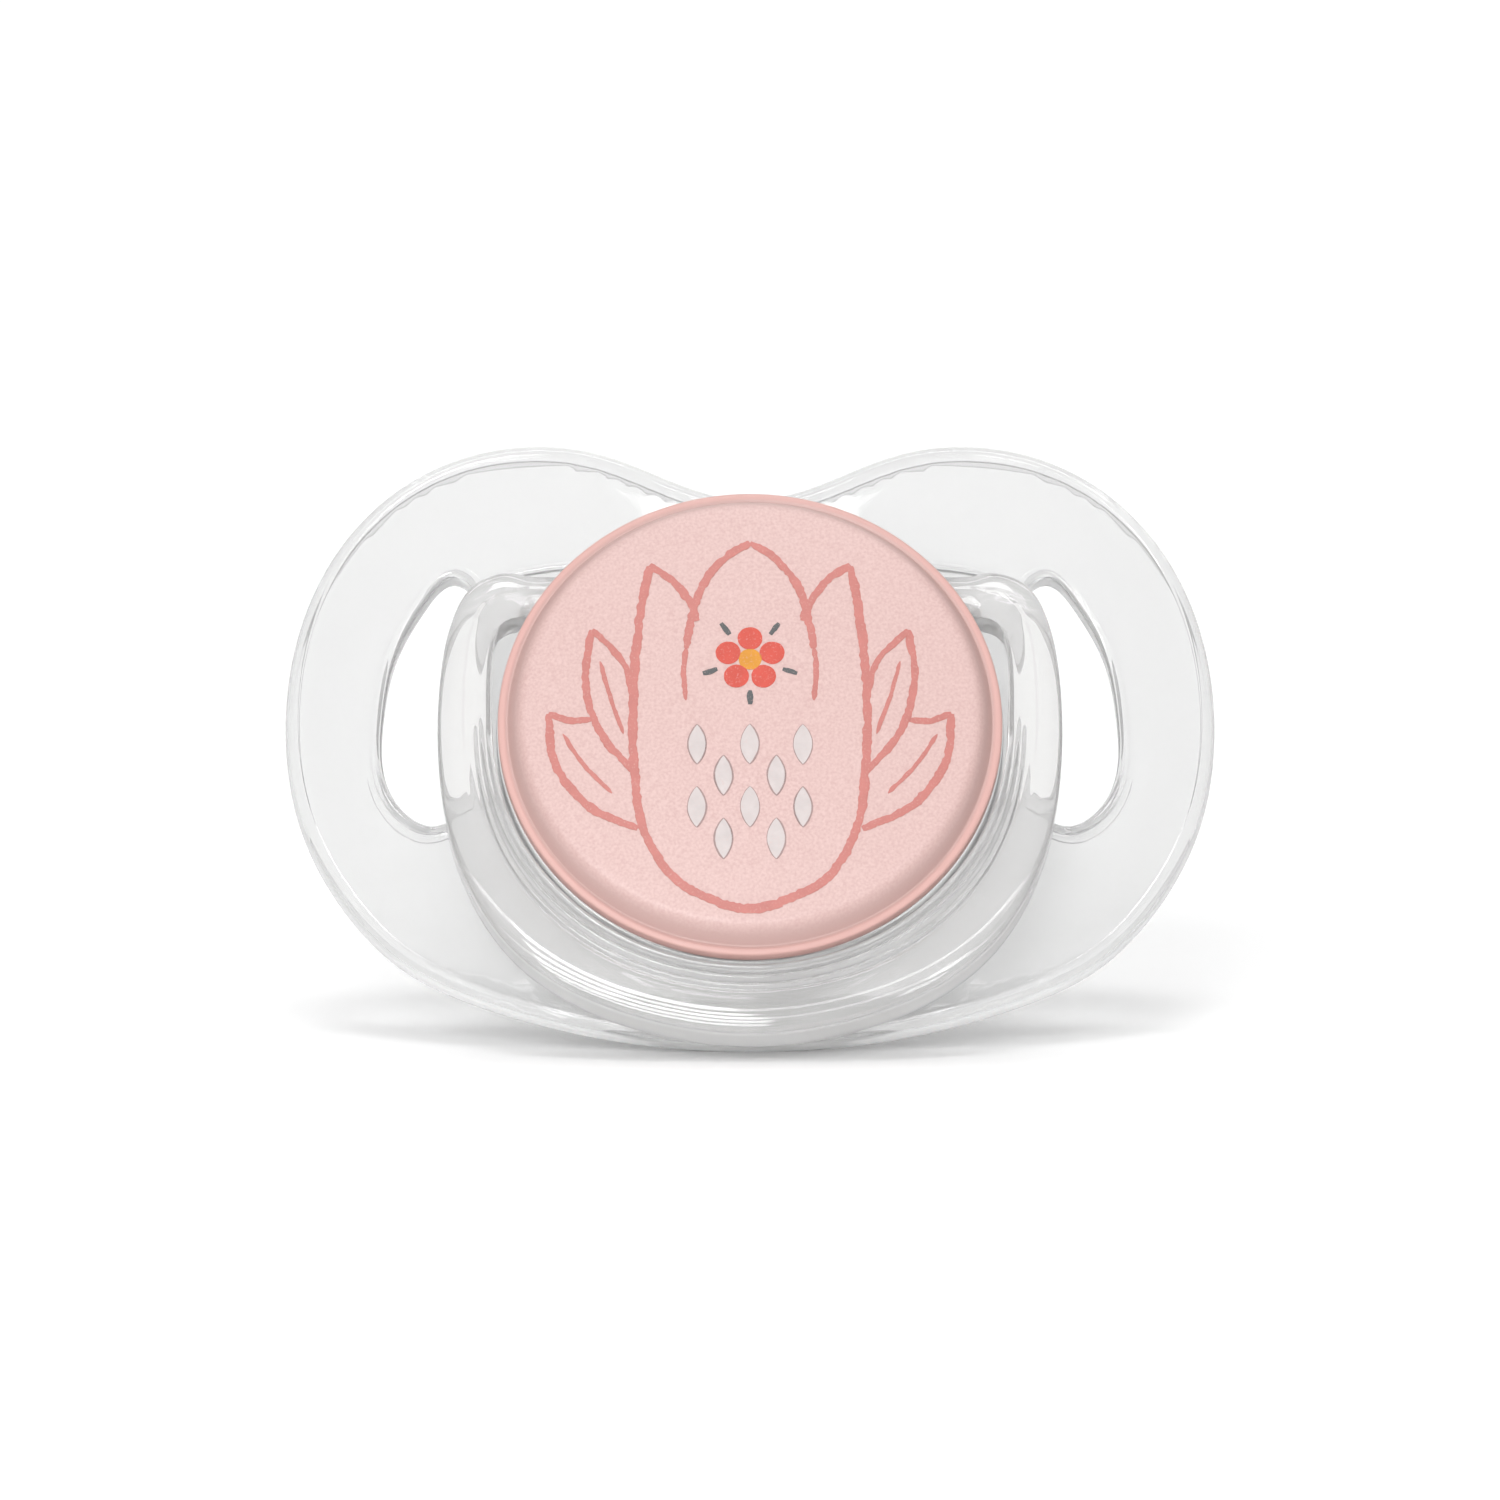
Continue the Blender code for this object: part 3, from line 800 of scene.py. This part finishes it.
def make_ring(surface):
    bar_line = [(x * MM, HINGE_Z + BAR_RADIUS, x * MM, HINGE_Z - BAR_RADIUS) for x in (12, 9, 6, 3, 0)]
    right = RING_STATIONS + bar_line
    left = [(-ox, oz, -ix, iz) for ox, oz, ix, iz in right[-2:0:-1]]
    sections = []
    for ox, oz, ix, iz in closed_spline(right + left, 460):
        centre = ((ox + ix) / 2, (oz + iz) / 2)
        width = math.hypot(ox - ix, oz - iz)
        across = ((ox - ix) / width, (oz - iz) / width)
        bar = 0.0
        if centre[1] > HINGE_Z - MM:
            bar = min(1.0, max(0.0, (BAR_ENDS - abs(centre[0])) / BAR_BLEND))
            bar = bar * bar * (3 - 2 * bar)
        if bar == 1.0:
            centre, across, width = (centre[0], HINGE_Z), (0.0, 1.0), 2 * BAR_RADIUS
        collar = min(1.0, max(0.0, (COLLAR_TOP - centre[1]) / COLLAR_BLEND))
        collar = collar * collar * (3 - 2 * collar)
        sections.append(ring_section(centre, across, width / 2, bar, collar))
    points = []
    faces = tube(points, sections)
    mesh = smooth(mesh_from("clear_ring", points, faces), 60)
    return new_piece("clear_ring", mesh, "ring", surface, ["ring_handle"])


# ---------------------------------------------------------------- button and teat


def dome_depth(radius):
    """The depth of the cover's domed face at a radius."""
    return COVER_APEX + (DOME_EDGE - COVER_APEX) * (radius / DOME_RADIUS) ** 2


def make_cover(surface):
    back = [
        (0.0, COVER_CEILING),
        (COVER_SKIRT_INSIDE - 0.4 * MM, COVER_CEILING),
        (COVER_SKIRT_INSIDE, COVER_CEILING + 0.4 * MM),
        (COVER_SKIRT_INSIDE, COVER_BACK),
    ]
    lip = [
        (COVER_RADIUS, COVER_BACK),
        (COVER_RADIUS, COVER_BACK - 1.0 * MM),
        (COVER_RADIUS - 0.38 * MM, COVER_BACK - 1.05 * MM),
        (COVER_RADIUS - 0.62 * MM, COVER_BACK - 0.95 * MM),
        (COVER_RADIUS - 0.85 * MM, COVER_BACK - 1.45 * MM),
        (COVER_RADIUS - 1.1 * MM, COVER_BACK - 1.95 * MM),
        (FACE_RADIUS, dome_depth(FACE_RADIUS)),
    ]
    dome_steps = 40
    dome = []
    for step in range(1, dome_steps + 1):
        radius = FACE_RADIUS * (1 - step / dome_steps)
        dome.append((radius, dome_depth(radius)))
    mesh = smooth(lathe("cover", rounded(back + lip, 0.22 * MM, 5) + dome, 256), 50)
    return new_piece("pink_button", mesh, "body", surface, ["button_cover"])


def teat_radius(y):
    if y >= TEAT_BULB_Y:
        along = (y - TEAT_BULB_Y) / (TEAT_TIP_Y - TEAT_BULB_Y)
        return TEAT_BULB_RADIUS * math.sqrt(max(0.0, 1 - along**2))
    along = max(0.0, (y - TEAT_NECK_END) / (TEAT_BULB_Y - TEAT_NECK_END))
    return TEAT_NECK_RADIUS + (TEAT_BULB_RADIUS - TEAT_NECK_RADIUS) * along**2 * (3 - 2 * along)


def teat_side(inset):
    """The bulb's profile from the tip to the neck's end, at a depth below the outer surface."""
    steps = 32
    side = []
    for step in range(steps):
        angle = math.pi / 2 * step / steps
        reach = TEAT_TIP_Y - TEAT_BULB_Y - inset
        side.append(((TEAT_BULB_RADIUS - inset) * math.sin(angle), TEAT_BULB_Y + reach * math.cos(angle)))
    for step in range(steps + 1):
        y = TEAT_BULB_Y + (TEAT_NECK_END - TEAT_BULB_Y) * step / steps
        side.append((teat_radius(y) - inset, y))
    return side


def make_teat(surface):
    flange = [
        (TEAT_NECK_RADIUS, TEAT_FLANGE_BACK),
        (TEAT_FLANGE_RADIUS, TEAT_FLANGE_BACK),
        (TEAT_FLANGE_RADIUS, TEAT_FLANGE_FRONT),
        (TEAT_NECK_RADIUS - TEAT_WALL, TEAT_FLANGE_FRONT),
    ]
    mesh = lathe("teat", teat_side(0.0) + flange + teat_side(TEAT_WALL)[::-1], 128)
    for vertex in mesh.vertices:
        along = max(0.0, (vertex.co.y - TEAT_NECK_END) / (TEAT_BULB_Y - TEAT_NECK_END))
        vertex.co.x *= 1 + (TEAT_WIDENING - 1) * min(1.0, along)
    return new_piece("silicone_teat", smooth(mesh, 60), "body", surface, ["teat"])


def make_plug(surface):
    profile = [
        (0.0, PLUG_STEM_END),
        (PLUG_STEM_RADIUS, PLUG_STEM_END),
        (PLUG_STEM_RADIUS, PLUG_FLANGE_BACK),
        (TEAT_FLANGE_RADIUS, PLUG_FLANGE_BACK),
        (TEAT_FLANGE_RADIUS, PLUG_FLANGE_FRONT),
        (0.0, PLUG_FLANGE_FRONT),
    ]
    mesh = smooth(lathe("plug", rounded(profile, 0.3 * MM, 5), 128), 50)
    return new_piece("neck_plug", mesh, "body", surface, ["teat_plug"])


def make_base(surface):
    profile = [
        (0.0, HUB_FRONT),
        (BASE_PAD_RADIUS, HUB_FRONT),
        (BASE_PAD_RADIUS, BASE_BACK),
        (BASE_RADIUS, BASE_BACK),
        (BASE_RADIUS, BASE_FRONT),
        (0.0, BASE_FRONT),
    ]
    pegs = []
    for place in PEG_PLACES:
        outline = round_outline(PEG_RADIUS, 32, place)
        pegs.append(("UNION", disc_slab("peg", outline, (BASE_BACK + BASE_FRONT) / 2, PEG_TIP)))
    mesh = smooth(boolean(lathe("base", rounded(profile, 0.2 * MM, 5), 192), pegs), 50)
    return new_piece("keeper_plate", mesh, "body", surface, ["button_base"])


# ---------------------------------------------------------------- print on the button


PRINT_LIFT = 0.03 * MM
PRINT_ROOT = 0.02 * MM
LINE_WIDTH = 0.54 * MM
STROKE_SPACING = 0.13 * MM
PATCH_SPACING = 0.15 * MM
TAPER_LENGTH = 0.5 * MM
BLOSSOM = (0.0, 3.4 * MM)
SEED_TOP = -2.4 * MM
SEED_ROW = 2.1 * MM
SEED_SPACING = 3.3 * MM


def on_dome(x, z, lift):
    """The point on the dome at (x, z), raised off it by the lift."""
    return (x, dome_depth(math.hypot(x, z)) - lift, z)


def smooth_run(knots, spacing):
    """Evenly spaced points on a smooth open curve through the knots."""
    points = np.array(knots, float)
    steps = np.linalg.norm(np.diff(points, axis=0), axis=1)
    chord = np.concatenate([[0], np.cumsum(steps)])
    tangents = np.gradient(points, chord, axis=0) if len(points) > 2 else np.diff(points, axis=0) / steps[0]
    tangents = np.broadcast_to(tangents, points.shape)
    fine = []
    for i, step in enumerate(steps):
        for t in np.linspace(0, 1, 24, endpoint=False):
            start = (1 + 2 * t) * (1 - t) ** 2 * points[i] + t * (1 - t) ** 2 * step * tangents[i]
            end = t * t * (3 - 2 * t) * points[i + 1]
            fine.append(start + end + t * t * (t - 1) * step * tangents[i + 1])
    fine = np.array(fine + [points[-1]])
    lengths = np.concatenate([[0], np.cumsum(np.linalg.norm(np.diff(fine, axis=0), axis=1))])
    wanted = np.linspace(0, lengths[-1], max(4, int(lengths[-1] / spacing)))
    return np.stack([np.interp(wanted, lengths, fine[:, k]) for k in range(2)], 1)


class Print:
    """Strokes and patches of one ink, gathered as thin closed bodies that follow the dome."""

    def __init__(self, seed):
        self.points = []
        self.faces = []
        self.seed = seed
        self.count = 0

    def lift(self):
        self.count += 1
        return PRINT_LIFT + (self.count % 4) * 0.004 * MM

    def wobble(self, along, side):
        """A crayon's uneven edge, from -1 to 1."""
        place = Vector((along / (0.9 * MM), self.seed * 7.3 + self.count * 3.1, side * 5.7))
        return 0.5 * noise.noise(place) + 0.5 * noise.noise(place * 3.9)

    def stroke(self, knots, width=LINE_WIDTH, taper=0.35):
        """A crayon line through the knots, thinning towards its ends."""
        lift = self.lift()
        path = smooth_run(knots, STROKE_SPACING)
        ahead = np.gradient(path, axis=0)
        across = np.stack([-ahead[:, 1], ahead[:, 0]], 1) / np.linalg.norm(ahead, axis=1)[:, None]
        total = len(path)
        start = len(self.points)
        for i, (point, way) in enumerate(zip(path, across)):
            along = i * STROKE_SPACING
            end = min(i, total - 1 - i) * STROKE_SPACING
            half = width / 2 * (1 - taper * max(0.0, 1 - end / TAPER_LENGTH) ** 2)
            left = point + way * half * (1 + 0.7 * self.wobble(along, 1))
            right = point - way * half * (1 + 0.7 * self.wobble(along, 2))
            for (x, z), height in ((left, lift), (right, lift), (right, -PRINT_ROOT), (left, -PRINT_ROOT)):
                self.points.append(on_dome(x, z, height))
        for i in range(total - 1):
            for k in range(4):
                low, high = start + 4 * i, start + 4 * (i + 1)
                self.faces.append((low + k, low + (k + 1) % 4, high + (k + 1) % 4, high + k))
        self.faces.append((start, start + 1, start + 2, start + 3))
        last = start + 4 * (total - 1)
        self.faces.append((last + 3, last + 2, last + 1, last))

    def patch(self, outline, rough=0.06 * MM):
        """A filled shape from its closed outline, with an uneven edge."""
        lift = self.lift()
        loop = np.array(outline)
        centre = loop.mean(0)
        out = outward_normals(loop)
        rough_loop = []
        for i, (point, way) in enumerate(zip(loop, out)):
            rough_loop.append(point + way * rough * self.wobble(i * PATCH_SPACING, 1))
        loop = np.array(rough_loop)
        size = len(loop)
        start = len(self.points)
        for reach, height in ((1.0, lift), (0.5, lift), (1.0, -PRINT_ROOT)):
            for x, z in centre + (loop - centre) * reach:
                self.points.append(on_dome(x, z, height))
        top = len(self.points)
        self.points.append(on_dome(*centre, lift))
        self.points.append(on_dome(*centre, -PRINT_ROOT))
        for i in range(size):
            following = (i + 1) % size
            outer, inner, under = start, start + size, start + 2 * size
            self.faces.append((outer + i, outer + following, inner + following, inner + i))
            self.faces.append((inner + i, inner + following, top))
            self.faces.append((outer + following, outer + i, under + i, under + following))
            self.faces.append((under + following, under + i, top + 1))

    def make(self, name, surface):
        mesh = smooth(mesh_from(name, self.points, self.faces), 50)
        return new_piece(name, mesh, "body", surface)


def millimetres(*points):
    return [(x * MM, z * MM) for x, z in points]


def both_sides(ink, knots, **settings):
    """The same stroke on the right and, mirrored, on the left."""
    ink.stroke(knots, **settings)
    ink.stroke([(-x, z) for x, z in knots], **settings)


def seed_outline(centre, length, width):
    """A seed shape, pointed at both ends."""
    steps = 14
    points = []
    for way in (1, -1):
        for step in range(steps):
            t = step / steps
            across = width / 2 * math.sin(math.pi * t) ** 0.8
            points.append((centre[0] + way * across, centre[1] + way * length * (t - 0.5)))
    return points


def round_place(centre, reach, angle):
    return (centre[0] + reach * math.cos(angle), centre[1] + reach * math.sin(angle))


def print_flower():
    """A tulip between two pairs of leaves, with a small blossom and seeds on its cup."""
    coral = Print(1)
    side = [(6.3, 10.0), (6.9, 6.4), (7.3, 1.0), (7.2, -4.0), (6.5, -8.4), (4.5, -11.5), (1.6, -13.0)]
    cup = millimetres(*side)
    both_sides(coral, cup)
    coral.stroke(millimetres((-2.0, -12.95), (0.0, -13.3), (2.0, -12.95)), width=0.58 * MM)
    both_sides(coral, millimetres((6.3, 10.1), (4.9, 9.0), (3.7, 7.3), (3.3, 6.1)), width=0.5 * MM)
    middle_petal = millimetres((0.0, 11.6), (1.5, 10.6), (2.8, 8.9), (3.6, 6.6), (4.0, 4.2))
    both_sides(coral, middle_petal, width=0.5 * MM)
    both_sides(coral, millimetres((4.0, 4.3), (4.15, 2.6), (4.0, 0.6)), width=0.34 * MM, taper=0.8)
    both_sides(coral, millimetres((7.25, 0.4), (7.9, 3.2), (9.9, 5.6)), width=0.42 * MM)
    both_sides(coral, millimetres((9.9, 5.6), (10.3, 2.6), (9.4, -1.4), (7.25, -4.2)), width=0.46 * MM)
    both_sides(coral, millimetres((9.4, 3.4), (8.7, 0.8), (7.9, -1.6)), width=0.26 * MM, taper=0.8)
    both_sides(coral, millimetres((9.9, -0.6), (11.2, -0.6), (12.6, -0.1)), width=0.42 * MM)
    both_sides(coral, millimetres((12.6, -0.1), (12.2, -3.4), (10.2, -6.3), (7.0, -8.0)), width=0.5 * MM)
    both_sides(coral, millimetres((11.7, -1.5), (10.4, -3.6), (8.6, -5.6)), width=0.26 * MM, taper=0.8)
    coral.make("print_coral", ink("coral_ink", (0.475, 0.163, 0.141)))
    seeds = Print(2)
    outlines = Print(6)
    places = []
    for row, count in enumerate((3, 2, 3, 2)):
        for seed in range(count):
            across = (seed - (count - 1) / 2) * SEED_SPACING
            places.append((across, SEED_TOP - row * SEED_ROW))
    for place in places:
        shape = seed_outline(place, 2.7 * MM, 1.15 * MM)
        seeds.patch(shape, 0.03 * MM)
        half = len(shape) // 2
        outlines.stroke(shape[: half + 1], width=0.1 * MM, taper=0.5)
        outlines.stroke(shape[half:] + shape[:1], width=0.1 * MM, taper=0.5)
    seeds.make("print_seeds", ink("chalk_ink", (0.528, 0.475, 0.466)))
    outlines.make("print_seed_lines", ink("taupe_ink", (0.317, 0.22, 0.211)))
    charcoal = Print(3)
    petals = Print(4)
    gold = Print(5)
    for petal in range(5):
        along_petal = math.radians(90 + 72 * petal)
        petal_centre = round_place(BLOSSOM, 1.45 * MM, along_petal)
        petals.patch(round_outline(0.78 * MM, 36, petal_centre), 0.04 * MM)
        along_ray = along_petal + math.radians(36)
        ray = [round_place(BLOSSOM, reach, along_ray) for reach in (2.15 * MM, 2.6 * MM, 3.1 * MM)]
        charcoal.stroke(ray, width=0.36 * MM)
    gold.patch(round_outline(0.72 * MM, 36, BLOSSOM), 0.04 * MM)
    charcoal.make("print_charcoal", ink("charcoal_ink", (0.075, 0.079, 0.082)))
    petals.make("print_red", ink("red_ink", (0.528, 0.06, 0.037)))
    gold.make("print_gold", ink("gold_ink", (0.581, 0.238, 0.011)))


# ---------------------------------------------------------------- camera, stage and light


def make_camera():
    """A long lens at the view's elevation, with the shield's lower rim at its place in the frame."""
    camera = bpy.data.objects.new("camera", bpy.data.cameras.new("camera"))
    bpy.context.scene.collection.objects.link(camera)
    camera.data.sensor_width = SENSOR_WIDTH
    camera.data.lens = SENSOR_WIDTH * CAMERA_DISTANCE / FRAME_WIDTH
    camera.data.clip_start = 0.01
    lowest = PLATE_HALF_OUTLINE[0][1]
    rim = LEAN @ Vector((0.0, sag(0.0, lowest), lowest))
    up = Vector((0.0, math.sin(CAMERA_ELEVATION), math.cos(CAMERA_ELEVATION)))
    towards = Vector((0.0, -math.cos(CAMERA_ELEVATION), math.sin(CAMERA_ELEVATION)))
    camera.location = Vector((0.0, rim.y, 0.0)) + up * RIM_BELOW_MIDDLE + towards * CAMERA_DISTANCE
    camera.rotation_euler = (math.pi / 2 - CAMERA_ELEVATION, 0.0, 0.0)
    bpy.context.scene.camera = camera


def make_floor():
    """A pale light table, which glows a little and so keeps the shadows soft."""
    mesh = bpy.data.meshes.new("floor")
    mesh.from_pydata([(-0.4, -0.6, 0), (0.4, -0.6, 0), (0.4, 1.6, 0), (-0.4, 1.6, 0)], [], [(0, 1, 2, 3)])
    floor = bpy.data.objects.new("floor", mesh)
    bpy.context.scene.collection.objects.link(floor)
    surface = Surface("pale_floor", (0.93, 0.93, 0.93), 0.6)
    surface.roughness(surface.spread(surface.noise(0.02), 0.55, 0.65))
    surface.shader.inputs["Emission Color"].default_value = (1.0, 1.0, 1.0, 1.0)
    surface.shader.inputs["Emission Strength"].default_value = TABLE_GLOW
    mesh.materials.append(surface.material)


def light_profile(tree, angle, stops):
    """Light against the angle above the front horizon, from (degrees, strength) stops."""
    ramp = tree.nodes.new("ShaderNodeValToRGB")
    ramp.color_ramp.interpolation = "LINEAR"
    elements = ramp.color_ramp.elements
    while len(elements) < len(stops):
        elements.new(0.5)
    for element, (degrees, strength) in zip(elements, stops):
        element.position = degrees / 180
        element.color = (strength / PROFILE_SCALE,) * 3 + (1.0,)
    tree.links.new(angle, ramp.inputs["Fac"])
    return ramp.outputs["Color"]


def fall_off(tree, value, span, levels):
    """A smooth change from one level to the other over the value's span."""
    made = tree.nodes.new("ShaderNodeMapRange")
    made.interpolation_type = "SMOOTHSTEP"
    made.inputs["From Min"].default_value, made.inputs["From Max"].default_value = span
    made.inputs["To Min"].default_value, made.inputs["To Max"].default_value = levels
    tree.links.new(value, made.inputs["Value"])
    return made.outputs["Result"]


def between(tree, value, low, high, softness):
    """1 where the value is between low and high, and 0 beyond, with soft ends."""
    above = fall_off(tree, value, (low, low + softness), (0.0, 1.0))
    below = fall_off(tree, value, (high - softness, high), (1.0, 0.0))
    return arithmetic(tree, "MULTIPLY", above, below)


def arithmetic(tree, operation, *values):
    """A maths node over sockets and numbers."""
    made = tree.nodes.new("ShaderNodeMath")
    made.operation = operation
    for value, socket in zip(values, made.inputs):
        if isinstance(value, (int, float)):
            socket.default_value = value
        else:
            tree.links.new(value, socket)
    return made.outputs[0]


def make_world():
    """A white studio: a sweep in front and behind, a louvred softbox overhead, panes, and grey sides."""
    world = bpy.data.worlds.new("studio")
    bpy.context.scene.world = world
    world.use_nodes = True
    tree = world.node_tree
    parts = tree.nodes.new("ShaderNodeSeparateXYZ")
    tree.links.new(tree.nodes.new("ShaderNodeTexCoord").outputs["Generated"], parts.inputs[0])
    sideways = arithmetic(tree, "ABSOLUTE", parts.outputs["X"])
    forward = arithmetic(tree, "MULTIPLY", parts.outputs["Y"], -1.0)
    angle = arithmetic(tree, "DIVIDE", arithmetic(tree, "ARCTAN2", parts.outputs["Z"], forward), math.pi)
    sweep_share = fall_off(tree, sideways, SWEEP_EDGE, (1.0, SWEEP_SIDE_SHARE))
    sweep = arithmetic(tree, "MULTIPLY", light_profile(tree, angle, SWEEP_LIGHT), sweep_share)
    softbox_share = fall_off(tree, sideways, SOFTBOX_EDGE, (1.0, SOFTBOX_SIDE_SHARE))
    softbox = arithmetic(tree, "MULTIPLY", light_profile(tree, angle, SOFTBOX_LIGHT), softbox_share)
    total = arithmetic(tree, "MULTIPLY", arithmetic(tree, "ADD", sweep, softbox), PROFILE_SCALE)
    for low, high, left, right, strength in WINDOW_PANES:
        upward = between(tree, angle, low / 180, high / 180, PANE_SOFTNESS_UP / 180)
        across = between(tree, parts.outputs["X"], left, right, PANE_SOFTNESS_ACROSS)
        pane = arithmetic(tree, "MULTIPLY", arithmetic(tree, "MULTIPLY", upward, across), strength)
        total = arithmetic(tree, "ADD", total, pane)
    total = arithmetic(tree, "MULTIPLY", total, LIGHT_LEVEL)
    rays = tree.nodes.new("ShaderNodeLightPath")
    seen = tree.nodes.new("ShaderNodeMix")
    seen.data_type = "FLOAT"
    tree.links.new(rays.outputs["Is Camera Ray"], seen.inputs[0])
    tree.links.new(total, seen.inputs[2])
    seen.inputs[3].default_value = 1.0
    tree.links.new(seen.outputs[0], tree.nodes["Background"].inputs["Strength"])
    tree.nodes["Background"].inputs["Color"].default_value = (1.0, 1.0, 1.0, 1.0)


def make_light():
    make_world()
    view = bpy.context.scene.view_settings
    view.view_transform = "Standard"
    view.look = "None"


ARM_SECTION = closed_spline(ARM_SECTION_KNOTS, ARM_SECTION_POINTS)
make_camera()
make_floor()
make_light()
shield_plastic = clear_plastic("clear_shield_plastic", (0.84, 0.84, 0.84), 0.015, 0.78, 0.35)
ring_plastic = clear_plastic("clear_ring_plastic", (0.83, 0.827, 0.823), 0.015, 0.76, 0.5, 1.5)
moulded = white_plastic()
# The hub's faces get a frosted copy of the clear plastic whose lighter tint is painted light: it lifts the
# shade that falls on the hub under the button's rim.
make_shield(shield_plastic, clear_plastic("frosted_hub_painted_lighter", (0.97, 0.97, 0.97), 0.12, 0.8, 0.8))
make_ring(ring_plastic)
make_cover(pink_frost())
make_teat(silicone())
make_plug(moulded)
make_base(moulded)
print_flower()
